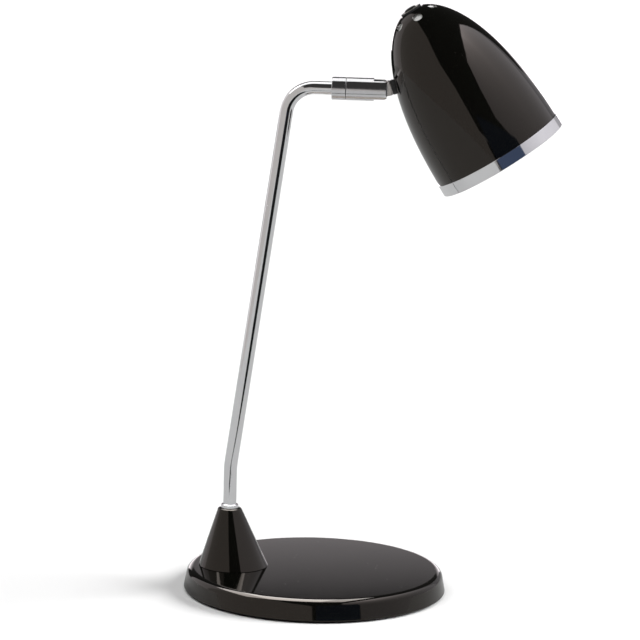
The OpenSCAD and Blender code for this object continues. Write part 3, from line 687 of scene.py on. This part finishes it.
def mast():
    """The tube as one smooth bent piece, along the same route as in the frame."""
    lean = math.radians(MAST_LEAN)
    turn = math.pi / 2 - lean
    low_tangent = LOW_BEND_R * math.tan(lean / 2)
    top_tangent = BEND_R * math.tan(turn / 2)
    corner_x = mast_x + (arm_z - LEAN_Z) * math.tan(lean)
    run_end = (corner_x - top_tangent * math.sin(lean), arm_z - top_tangent * math.cos(lean))
    foot_z, straight_l = node_low("mast").z, 20
    low_steps, top_steps = 12, 36
    path = [(mast_x, foot_z), (mast_x, foot_z + straight_l)]
    for i in range(low_steps + 1):
        a = lean * i / low_steps
        path.append((
            mast_x + LOW_BEND_R * (1 - math.cos(a)),
            LEAN_Z - low_tangent + LOW_BEND_R * math.sin(a),
        ))
    for i in range(top_steps + 1):
        a = lean + turn * i / top_steps
        path.append((
            run_end[0] + BEND_R * (math.cos(lean) - math.cos(a)),
            run_end[1] + BEND_R * (math.sin(a) - math.sin(lean)),
        ))
    path.append((node_high("mast").x, arm_z))
    add_piece("mast_tube", swept(path, tube_r), Matrix(), "chrome", "stand", "mast")


# Swivel sleeve and knuckle

def joint_collar():
    length = seam_x - sleeve_x
    points = [(tube_r, 0)] + arc(sleeve_r - SLEEVE_END_R, SLEEVE_END_R, SLEEVE_END_R, -90, 0, 6)
    points += arc(sleeve_r - SEAM_R, length - SEAM_R, SEAM_R, 0, 90, 4) + [(tube_r, length)]
    add_piece("sleeve_collar", turned(points, 128), arm_axes(sleeve_x), "turned_chrome", "stand",
              "joint_collar")


def joint_body():
    """The turning part of the sleeve, with its cheeks, its slot and their rounded end."""
    length = body_end_x - body_x
    slot_x = body_end_x - SLOT_L
    cheek_r = tongue_reach - CHEEK_GAP
    bore_r, bore_l = node_high("swivel_nipple").y + 0.05, 12
    points = [(bore_r, 0)] + arc(sleeve_r - SEAM_R, SEAM_R, SEAM_R, -90, 0, 4)
    points += arc(sleeve_r - SLEEVE_END_R, length - SLEEVE_END_R, SLEEVE_END_R, 0, 90, 6)
    points += [(0, length), (0, bore_l), (bore_r, bore_l)]
    piece = add_piece("sleeve_body", turned(points, 128), arm_axes(body_x), "turned_chrome", "swivel",
                      "joint_body")
    # The tools reach past the sleeve on every side
    far = 20
    tools = [block((slot_x, -SLOT_W / 2, arm_z - far), (slot_x + far, SLOT_W / 2, arm_z + far))]
    for side in (-1, 1):
        face = arm_z + side * CHEEK_H / 2
        low, high = sorted((face, face + side * far))
        tools.append(block((slot_x, -far, low), (slot_x + far, far, high)))
    beyond = arc(pivot.x, pivot.z, cheek_r, -90, 90, 48)
    beyond += [(pivot.x, arm_z + far), (pivot.x + far, arm_z + far)]
    beyond += [(pivot.x + far, arm_z - far), (pivot.x, arm_z - far)]
    tools.append(plate(beyond, 2 * far))
    cut(piece, [(tool, Matrix()) for tool in tools])
    piece.data.set_sharp_from_angle(angle=math.radians(30))
    soften(piece, 0.12)


def tongue():
    """The flat tongue and its hollow threaded stud."""
    half = TONGUE_H / 2
    outline = [(tongue_reach, -half), (tongue_reach, half)] + arc(0, 0, half, 90, 270, 32)
    piece = add_piece("tongue_plate", plate(outline, tongue_t), tongue_axes, "satin_nickel", "head", "tongue")
    soften(piece, 0.35, 50)
    pitch, thread_h = 0.75, 0.25
    bore_r, bore_l = 1.5, 3
    points = [(0, tongue_reach - 1), (stud_r, tongue_reach - 1)]
    z = tongue_reach
    while z < STAND_OFF + STUD_PAST_SHADE:
        points += [(stud_r, z), (stud_r - thread_h, z + pitch / 2)]
        z += pitch
    points += [(stud_r - 0.3, z), (bore_r, z), (bore_r, z - bore_l), (0, z - bore_l)]
    add_piece("tongue_stud", turned(points, 48), tongue_axes @ along_x, "satin_nickel", "head")


def pivot_pins():
    """The riveted ends of the pivot pins, flush with the round of the sleeve."""
    root_y, pin_l, end_r = 1.9, 4.9, 0.2
    for side, word in ((-1, "near"), (1, "far")):
        points = [(0, 0), (PIN_D / 2 - 0.1, 0)] + arc(PIN_D / 2 - 0.25, pin_l - end_r, end_r, 0, 90, 4)
        points += [(0, pin_l + 0.05)]
        root = pivot + Vector((0, side * root_y, 0))
        axes = Matrix.Translation(root * MM) @ Matrix.Rotation(-side * math.pi / 2, 4, "X")
        add_piece("pivot_pin_" + word, turned(points, 48), axes, "satin_nickel", "swivel", "pivot_pins")


def shade_mounting():
    """The bright washer and the black saddle between the tongue and the shade."""
    washer_r, seat_r = TONGUE_H / 2 - 0.1, TONGUE_H / 2 + 0.2
    washer_edge, seat_edge = 0.1, 0.3
    seat_start, seat_end = tongue_reach + WASHER_T, STAND_OFF + 0.45
    points = [(stud_r, tongue_reach)]
    points += arc(washer_r - washer_edge, tongue_reach + washer_edge, washer_edge, -90, 0, 3)
    points += arc(washer_r - washer_edge, seat_start - washer_edge, washer_edge, 0, 90, 3)
    points += [(stud_r, seat_start)]
    add_piece("bright_washer", turned(points, 96), tongue_axes @ along_x, "satin_nickel", "head",
              "lock_washer")
    points = [(stud_r, seat_start)] + arc(seat_r - seat_edge, seat_start + seat_edge, seat_edge, -90, 0, 5)
    points += [(seat_r, seat_end), (stud_r, seat_end)]
    add_piece("saddle", turned(points, 96), tongue_axes @ along_x, "black_rubber", "head", "shade_seat")


# Shade and what is in it

def shade():
    end_s = SHADE_L - LIP_H
    hole_r = NOSE_R + 0.2
    points = [(hole_r, 0)] + shade_line(0, 0, end_s, 72)
    points += [(shade_r, -end_s), (shade_r - SHADE_WALL, -end_s)]
    points += shade_line(SHADE_WALL, 0, end_s, 72)[::-1] + [(hole_r, -SHADE_WALL)]
    piece = add_piece("shade_shell", turned(points, 256), shade_axes, "gloss_black", "head", "shade")
    lean = outline_lean(VENT_S)
    vents = []
    for i in range(VENT_COUNT):
        azimuth = math.radians(VENT_AZIMUTH + 360 / VENT_COUNT * i)
        axes = (shade_axes @ Matrix.Rotation(azimuth, 4, "Z")
                @ Matrix.Translation(Vector((outline_r(VENT_S), 0, -VENT_S)) * MM)
                @ Matrix.Rotation(math.pi / 2 - lean, 4, "Y"))
        vents.append((rod(VENT_D / 2, -2, 2), axes))
    cut(piece, vents)
    true_shade_normals(piece)
    piece.data.materials.append(finishes["white_paint"])
    for face in piece.data.polygons:
        middle = shade_axes.inverted() @ face.center / MM
        s = min(max(-middle.z, 0), SHADE_L)
        # White from the middle of the wall inwards, measured square to the surface
        half_wall = SHADE_WALL * 0.6 / max(0.3, math.cos(outline_lean(s)))
        white = math.hypot(middle.x, middle.y) < outline_r(s) - half_wall and middle.z < -SHADE_WALL / 2
        face.material_index = 1 if white else 0


def true_shade_normals(piece):
    """Gives every corner on the outer and inner face of the shade the normal of its smooth line."""
    mesh = piece.data
    home = shade_axes.inverted()
    turn = shade_axes.to_3x3().normalized()
    # A face that lies along the surface, rather than across the wall, is within this cosine of its line
    along_surface = 0.93
    normals = []
    for face in mesh.polygons:
        flat = (home.to_3x3() @ face.normal).normalized()
        for corner in face.loop_indices:
            spot = home @ mesh.vertices[mesh.loops[corner].vertex_index].co / MM
            lean = outline_lean(min(max(-spot.z, 0.0), SHADE_L))
            round_way = Vector((spot.x, spot.y, 0)).normalized()
            true = round_way * math.cos(lean) + Vector((0, 0, math.sin(lean)))
            if flat.dot(true) < 0:
                true = -true
            normals.append(turn @ (true if flat.dot(true) > along_surface else flat))
    mesh.normals_split_custom_set(normals)


def trim_ring():
    outer_r = shade_r + TRIM_T
    top, end = -(SHADE_L - TRIM_H), -SHADE_L
    top_edge, end_edge = 0.2, 0.25
    lip_w, lip_t = 2, 0.55
    points = [(shade_r - 0.1, top)] + arc(outer_r - top_edge, top - top_edge, top_edge, 90, 0, 5)
    points += arc(outer_r - end_edge, end + end_edge, end_edge, 0, -90, 6)
    points += [(shade_r - lip_w, end), (shade_r - lip_w, end + lip_t), (shade_r - 0.1, end + lip_t)]
    add_piece("trim_bright_ring", turned(points, 256), shade_axes, "chrome", "head", "trim_ring")


def light_baffle():
    depth = SHADE_WALL + BAFFLE_GAP
    end_s = BAFFLE_END_S - depth * math.sin(outline_lean(BAFFLE_END_S))
    outer = shade_line(depth, 0, end_s, 24)
    inner = shade_line(depth + BAFFLE_T, 0, end_s, 24)
    hub_r = SHADE_FLAT_D / 2 - 1
    hole_r = NOSE_R + 0.3
    points = [(hole_r, -SHADE_WALL), (hub_r, -SHADE_WALL), (hub_r, -depth + 0.05)] + outer[1:]
    points += inner[:0:-1] + [(hole_r, -depth - BAFFLE_T)]
    add_piece("light_dish", turned(points, 192), shade_axes, "white_paint", "head", "light_baffle")


def holder_cap():
    round_r, edge = 1.5, 0.3
    points = [(nose_bore_r, RING_NUT_H), (NOSE_R, RING_NUT_H), (NOSE_R, -cap_s)]
    points += [(holder_r - CAP_SLOPE, -cap_s)]
    points += arc(holder_r - round_r, -cap_s - CAP_SLOPE - 0.6, round_r, 45, 0, 6)
    points += [(holder_r, -cap_end_s + edge), (holder_r - edge, -cap_end_s), (holder_bore_r, -cap_end_s)]
    points += [(holder_bore_r, -cap_s - CAP_SLOPE)]
    points += [(holder_bore_r - CAP_SLOPE + CAP_TOP_T, -cap_s - CAP_TOP_T), (nose_bore_r, -cap_s - CAP_TOP_T)]
    add_piece("holder_cap_shell", turned(points, 128), shade_axes, "holder_plastic", "head", "holder_cap")


def holder_skirt():
    """The lower part of the lamp holder, with seven fine grooves for the fingers."""
    mouth_r = BULB_CAP_R + 1.6
    edge, end_r, end_t = 0.3, 1, 2
    first_s, groove_pitch, groove_w, groove_h = 3, 2.2, 1, 0.35
    points = [(holder_r - edge, -cap_end_s)] + arc(holder_r - edge, -cap_end_s - edge, edge, 90, 0, 4)
    for k in range(7):
        z = -cap_end_s - first_s - groove_pitch * k
        points += [(holder_r, z + groove_w / 2), (holder_r - groove_h, z), (holder_r, z - groove_w / 2)]
    points += arc(holder_r - end_r, -skirt_end_s + end_r, end_r, 0, -90, 8)
    points += [(mouth_r, -skirt_end_s), (mouth_r, -skirt_end_s + end_t)]
    points += [(holder_bore_r, -skirt_end_s + end_t), (holder_bore_r, -cap_end_s)]
    add_piece("holder_skirt_shell", turned(points, 128), shade_axes, "holder_plastic", "head", "holder_skirt",
              crease=50)


def bulb():
    bulb_s = -node_in_shade("centre_contact")[0]
    neck_s = bulb_s + BULB_TIP_H + BULB_CAP_L
    globe_r = GLOBE_D / 2
    globe_s = bulb_s + BULB_L - globe_r
    neck_r = BULB_CAP_R + 1
    points = [(0, -neck_s), (neck_r - 0.4, -neck_s), (neck_r, -neck_s - 0.6), (neck_r, -skirt_end_s - 1.5)]
    # The globe, from where its neck meets it to its far end
    points += arc(0, -globe_s, globe_r, 40, -90, 60)
    add_piece("bulb_glass", turned(points, 128), shade_axes, "opal_glass", "head", "bulb_globe")


def node_in_shade(node):
    """Lowest and highest height of a node along the shade's axis, in millimetres."""
    home = shade_axes.inverted()
    heights = [(home @ v.co).z / MM for v in frame["nodes"][node].data.vertices]
    return min(heights), max(heights)


def ring_nut():
    outer_r = RING_NUT_D / 2
    foot_r, top_r = 0.1, 0.4
    ribs = (40, 0.22, NOSE_R + 0.8)
    points = [(NOSE_R, 0)] + arc(outer_r - foot_r, foot_r, foot_r, -90, 0, 3)
    points += arc(outer_r - top_r, RING_NUT_H - top_r, top_r, 0, 90, 6) + [(NOSE_R, RING_NUT_H)]
    add_piece("ribbed_nut", turned(points, 480, ribs), shade_axes, "black_plastic", "head", "ring_nut",
              crease=40)


def push_button():
    """The domed button, its flange under the nose of the holder and the pin below."""
    crown_r, flange_r, pin_r = BUTTON_D / 2, BUTTON_D / 2 + 1.2, 1.5
    crown_z = RING_NUT_H + BUTTON_PROUD
    dome_h = 0.8
    foot_z = node_in_shade("push_button")[0]
    flange_low, flange_high = foot_z + 1.5, foot_z + 2.9
    points = [(0, foot_z), (pin_r, foot_z), (pin_r, flange_low), (flange_r, flange_low)]
    points += [(flange_r, flange_high), (crown_r, flange_high)]
    for i in range(25):
        a = math.pi / 2 * i / 24
        points.append((crown_r * math.cos(a), crown_z - dome_h + dome_h * math.sin(a)))
    add_piece("button_dome", turned(points, 96), shade_axes, "black_plastic", "button", "push_button")


def button_spring():
    """The spring under the button, a wire coil between the ends of the frame's spring."""
    low, high = node_in_shade("button_spring")
    wire = coiled(nose_bore_r, 0.35, low, high, 6)
    piece = add_piece("button_coil", wire, shade_axes, "plate_steel", "head", "button_spring", crease=80)
    press = next(joint for joint in frame["joints"] if joint["name"] == "button_press")
    travel = press["range_m"][1] / MM
    1 - travel / (high - low)
    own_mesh(piece)


def tidy_shading(piece):
    """Keeps long faces shaded as they lie, up to the small roundings beside them."""
    smooth = piece.modifiers.new("tidy shading", "WEIGHTED_NORMAL")
    smooth.keep_sharp = True


for make in (base_cover, cone_cover, collar_ring, mast, joint_collar, joint_body, tongue, pivot_pins,
             shade_mounting, shade, trim_ring, light_baffle, holder_cap, holder_skirt, bulb, ring_nut,
             push_button, button_spring):
    make()
for piece in bpy.context.scene.objects:
    if piece.type == "MESH" and piece.name != "shade_shell":
        tidy_shading(piece)


# Floor, light and camera

FLOOR_REACH, GLOSS_FLOOR_Z, PAINTED_SHADE_Z = 14, 0.0003, 0.0006
ROOM, BACK_ROOM, CARD = 1.6, 2.5, 1.59
PANEL_Y, PANEL_Z = (-0.118, 0.125), 0.24
# Outlines of the black sheets that paint shade into the lamp's reflections of the floor
FRONT_PAINTED_SHADE = [
    (-0.14, -0.25), (-0.09, -0.24), (0.0, -0.295), (0.04, -0.3), (0.06, -0.28), (0.27, -0.28), (0.83, -0.56),
    (6, -3.6), (6, -8), (0.06, -8), (0.04, -0.9), (0.04, -0.36), (-0.02, -0.345), (-0.08, -0.31)]
BACK_PAINTED_SHADE = [(-0.88, 1.09), (-5.0, 6.2), (-2.1, 7.8), (-0.36, 1.35)]


def add_staged(name, corners, finish):
    """A flat sheet of the studio, given by its corners in metres."""
    bm = bmesh.new()
    bm.faces.new([bm.verts.new(corner) for corner in corners])
    mesh = bpy.data.meshes.new(name)
    bm.to_mesh(mesh)
    bm.free()
    sheet = bpy.data.objects.new(name, mesh)
    bpy.context.collection.objects.link(sheet)
    mesh.materials.append(finish)
    return sheet


def only_in_gloss(staged):
    """Makes a sheet or a light show in reflections alone, and keep no light off the lamp."""
    staged.visible_camera = False
    staged.visible_diffuse = False
    staged.visible_transmission = False
    staged.visible_shadow = False


def matte(name, grey, roughness):
    f = Finish(name, (grey, grey, grey), roughness)
    f.fix("Specular IOR Level", 0.0)
    return f


def add_floor(name, grey, level):
    corners = [(x * FLOOR_REACH, y * FLOOR_REACH, level) for x, y in [(-1, -1), (1, -1), (1, 1), (-1, 1)]]
    return add_staged(name, corners, matte(name, grey, 0.9).material)


def add_painted_shade(name, outline):
    """A black sheet on the floor that only reflections see: painted shade where the lamp mirrors the unlit
    parts of the room.
    """
    corners = [(x, y, PAINTED_SHADE_Z) for x, y in outline]
    only_in_gloss(add_staged(name, corners, painted_shade_sheet.material))


def add_wall(name, distance, stations, strength, rise=0, power=1, deeper=0, tint=(1, 1, 1)):
    """Upright glowing sheets on a round, from each station to the next.

    A station is an azimuth in degrees to the right of the camera's side, a low and a high edge in metres. The
    glow is strength at the floor and rise more one metre up, and gains the share deeper for each metre back.
    """
    f = matte(name, 0, 1.0)
    f.fix("Emission Strength", 1.0)
    place = f.node("ShaderNodeTexCoord", {}, {}, "Object")
    height = f.node("ShaderNodeSeparateXYZ", {}, {0: place}, "Z")
    depth = f.node("ShaderNodeSeparateXYZ", {}, {0: place}, "Y")
    glow = (height ** power * rise + strength) * (depth * deeper + 1.0)
    f.feed("Emission Color", f.node("ShaderNodeCombineColor", {}, {i: glow * k for i, k in enumerate(tint)}))
    edges = []
    for azimuth, low, high in stations:
        a = math.radians(azimuth)
        x, y = distance * math.sin(a), -distance * math.cos(a)
        edges.append(((x, y, low), (x, y, high)))
    for i, ((low_a, high_a), (low_b, high_b)) in enumerate(zip(edges, edges[1:])):
        only_in_gloss(add_staged("%s_%d" % (name, i), [low_a, low_b, high_b, high_a], f.material))


def add_softbox(name, low, high, strength):
    """A glowing panel that faces down, between two corners at the same height in metres."""
    light = bpy.data.lights.new(name, "AREA")
    light.shape = "RECTANGLE"
    light.size, light.size_y = high[0] - low[0], high[1] - low[1]
    light.energy = strength * math.pi * light.size * light.size_y
    softbox = bpy.data.objects.new(name, light)
    bpy.context.collection.objects.link(softbox)
    softbox.location = (Vector(low) + Vector(high)) / 2
    softbox.light_linking.receiver_collection = stand_mirrors
    only_in_gloss(softbox)


def add_sun(name, direction, strength, spread):
    """An even, soft light over the whole floor, from direction, that shows in no reflection."""
    light = bpy.data.lights.new(name, "SUN")
    light.energy = strength
    light.angle = math.radians(spread)
    sun = bpy.data.objects.new(name, light)
    bpy.context.collection.objects.link(sun)
    sun.rotation_mode = "QUATERNION"
    sun.rotation_quaternion = Vector(direction).to_track_quat("Z", "Y")
    sun.visible_glossy = False


def add_world():
    world = bpy.data.worlds.new("studio")
    bpy.context.scene.world = world
    world.use_nodes = True
    world.node_tree.nodes["Background"].inputs["Color"].default_value = (1, 0.97, 0.95, 1)
    world.node_tree.nodes["Background"].inputs["Strength"].default_value = 0.04


def add_camera():
    """The photograph's view: from far away, a little above, with the arm's plane turned slightly."""
    yaw, pitch, roll = math.radians(-3), math.radians(11.52), math.radians(1.39)
    target = Vector((-0.42, 0, 168.81)) * MM
    distance = 2.729
    focal_px = 4500
    picture_px = 640
    ahead = Vector((math.sin(yaw) * math.cos(pitch), math.cos(yaw) * math.cos(pitch), -math.sin(pitch)))
    level = Vector((math.cos(yaw), -math.sin(yaw), 0))
    above = level.cross(ahead)
    right = level * math.cos(roll) + above * math.sin(roll)
    top = above * math.cos(roll) - level * math.sin(roll)
    data = bpy.data.cameras.new("camera")
    data.sensor_width = 36
    data.lens = data.sensor_width * focal_px / picture_px
    data.clip_end = 100
    camera = bpy.data.objects.new("camera", data)
    bpy.context.collection.objects.link(camera)
    turn = Matrix((right, top, -ahead)).transposed()
    camera.matrix_world = Matrix.Translation(target - ahead * distance) @ turn.to_4x4()
    bpy.context.scene.camera = camera


add_floor("floor", 0.86, 0).visible_glossy = False
# A darker copy of the floor that only reflections see: painted shade on the floor as the lamp mirrors it,
# against the bright floor the camera sees
only_in_gloss(add_floor("floor_in_gloss", 0.455, GLOSS_FLOOR_Z))
add_world()
add_sun("soft_daylight", (-0.35, -0.3, 1.0), 1.75, 60)
add_sun("low_daylight", (1.0, 0.12, 0.62), 4.4, 44)

# The glowing walls stand where the photograph's room is mirrored in the lamp
add_wall(
    "left_wall", ROOM,
    [(3, 0, 0.11), (1, 0, 0.22), (-2, 0, 0.44), (-7, 0, 0.73), (-18, 0, 1.07), (-35, 0, 2.0), (-81, 0, 2.8),
     (-104, 0, 2.7)],
    strength=0.50, tint=(1.05, 1, 0.97))
add_wall(
    "far_left_wall", ROOM, [(-104, 0, 2.7), (-125, 0, 2.6), (-138, 0, 1.6)],
    strength=0.8, tint=(1.05, 1, 1.02))
add_wall(
    "right_wall", ROOM,
    [(30, 0.8, 1.2), (35, 0.75, 1.86), (43, 0.7, 2.2), (43.5, 0, 2.2), (52, 0, 2.58), (85, 0, 3.34),
     (128, 0, 2.68), (141, 0, 1.55)],
    strength=0.5, rise=0.27, power=2, deeper=0.1, tint=(1.03, 1, 1.05))
add_wall(
    "far_right_wall", ROOM, [(141, 0, 1.55), (144, 0, 1.32), (148, 0, 0.75), (166, 0, 0.26)],
    strength=0.35, rise=0.1, power=2, tint=(1.03, 1, 1.05))
add_wall(
    "back_wall", BACK_ROOM, [(148, 0, 0.715), (180, 0, 0.715), (203, 0, 0.715)],
    strength=3.75, rise=-5.22, tint=(1.03, 0.97, 1))
add_wall("blue_card", CARD, [(5, 0, 0.5), (43, 0, 0.76)], strength=0.085, tint=(0.55, 0.75, 1.3))
# Black sheets seen only in reflections: painted shade for the unlit parts of the room in front of and behind
# the lamp
painted_shade_sheet = matte("painted_shade_sheet", 0.01, 1.0)
add_painted_shade("front_painted_shade", FRONT_PAINTED_SHADE)
add_painted_shade("back_painted_shade", BACK_PAINTED_SHADE)

# The panels hang close to the head's path, so only the stand and the sleeve mirror them
stand_mirrors = bpy.data.collections.new("stand_mirrors")
for name in (
        "base_cover_shell", "cone_shell", "collar_bright_ring", "mast_tube", "sleeve_collar", "sleeve_body"):
    stand_mirrors.objects.link(bpy.data.objects[name])
add_softbox("sleeve_softbox", (-0.06, -0.0055, 0.331), (0.035, 0.0108, 0.331), 1.3)
for name, start_x, end_x, strength in (
        ("base_left_softbox", -0.25, -0.13, 6.0),
        ("base_softbox", -0.13, 0.027, 10.5),
        ("base_right_softbox", 0.027, 0.09, 6.0)):
    add_softbox(name, (start_x, PANEL_Y[0], PANEL_Z), (end_x, PANEL_Y[1], PANEL_Z), strength)
add_camera()
bpy.context.scene.view_settings.view_transform = "Standard"
